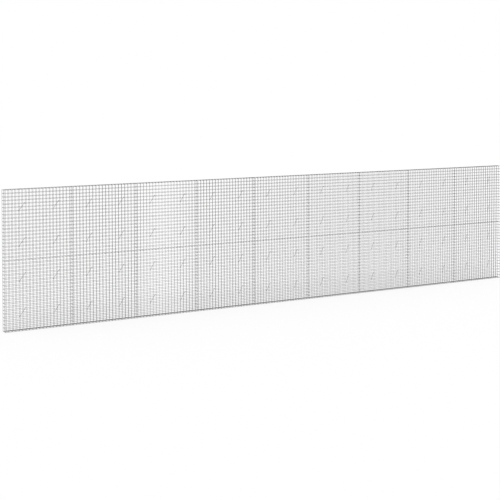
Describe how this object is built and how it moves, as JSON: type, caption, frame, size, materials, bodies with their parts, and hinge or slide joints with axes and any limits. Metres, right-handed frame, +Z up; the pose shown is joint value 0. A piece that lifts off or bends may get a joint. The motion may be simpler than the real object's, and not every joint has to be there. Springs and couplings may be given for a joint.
{
  "type": "gabion fence",
  "caption": "Long, narrow fence of empty welded-wire gabion baskets in tiers, with mesh dividers, a mesh lid and slanting tie rods.",
  "frame": {"origin": "foot of the left end panel's upright: the middle of its cut lower end, in the middle of the fence's depth, where it stands on the foundation", "axes": "+X along the fence from the left end to the right end, +Y from the front to the back, +Z up"},
  "size_m": [9.076, 0.111, 2.0061],
  "materials": {
    "galvanised_wire": "galvanised"
  },
  "bodies": {
    "root": {"front_panel_lower_1": "galvanised_wire", "front_panel_lower_2": "galvanised_wire", "front_panel_lower_3": "galvanised_wire", "front_panel_lower_4": "galvanised_wire", "front_panel_lower_5": "galvanised_wire", "front_panel_lower_6": "galvanised_wire", "front_panel_lower_7": "galvanised_wire", "front_panel_lower_8": "galvanised_wire", "front_panel_lower_9": "galvanised_wire", "front_panel_upper_1": "galvanised_wire", "front_panel_upper_2": "galvanised_wire", "front_panel_upper_3": "galvanised_wire", "front_panel_upper_4": "galvanised_wire", "front_panel_upper_5": "galvanised_wire", "front_panel_upper_6": "galvanised_wire", "front_panel_upper_7": "galvanised_wire", "front_panel_upper_8": "galvanised_wire", "front_panel_upper_9": "galvanised_wire", "back_panel_lower_1": "galvanised_wire", "back_panel_lower_2": "galvanised_wire", "back_panel_lower_3": "galvanised_wire", "back_panel_lower_4": "galvanised_wire", "back_panel_lower_5": "galvanised_wire", "back_panel_lower_6": "galvanised_wire", "back_panel_lower_7": "galvanised_wire", "back_panel_lower_8": "galvanised_wire", "back_panel_lower_9": "galvanised_wire", "back_panel_upper_1": "galvanised_wire", "back_panel_upper_2": "galvanised_wire", "back_panel_upper_3": "galvanised_wire", "back_panel_upper_4": "galvanised_wire", "back_panel_upper_5": "galvanised_wire", "back_panel_upper_6": "galvanised_wire", "back_panel_upper_7": "galvanised_wire", "back_panel_upper_8": "galvanised_wire", "back_panel_upper_9": "galvanised_wire", "left_end_panel": "galvanised_wire", "right_end_panel": "galvanised_wire", "dividers": "galvanised_wire", "base_mesh": "galvanised_wire", "level_mesh": "galvanised_wire", "lid_mesh": "galvanised_wire", "tie_rods": "galvanised_wire"}
  },
  "joints": []
}
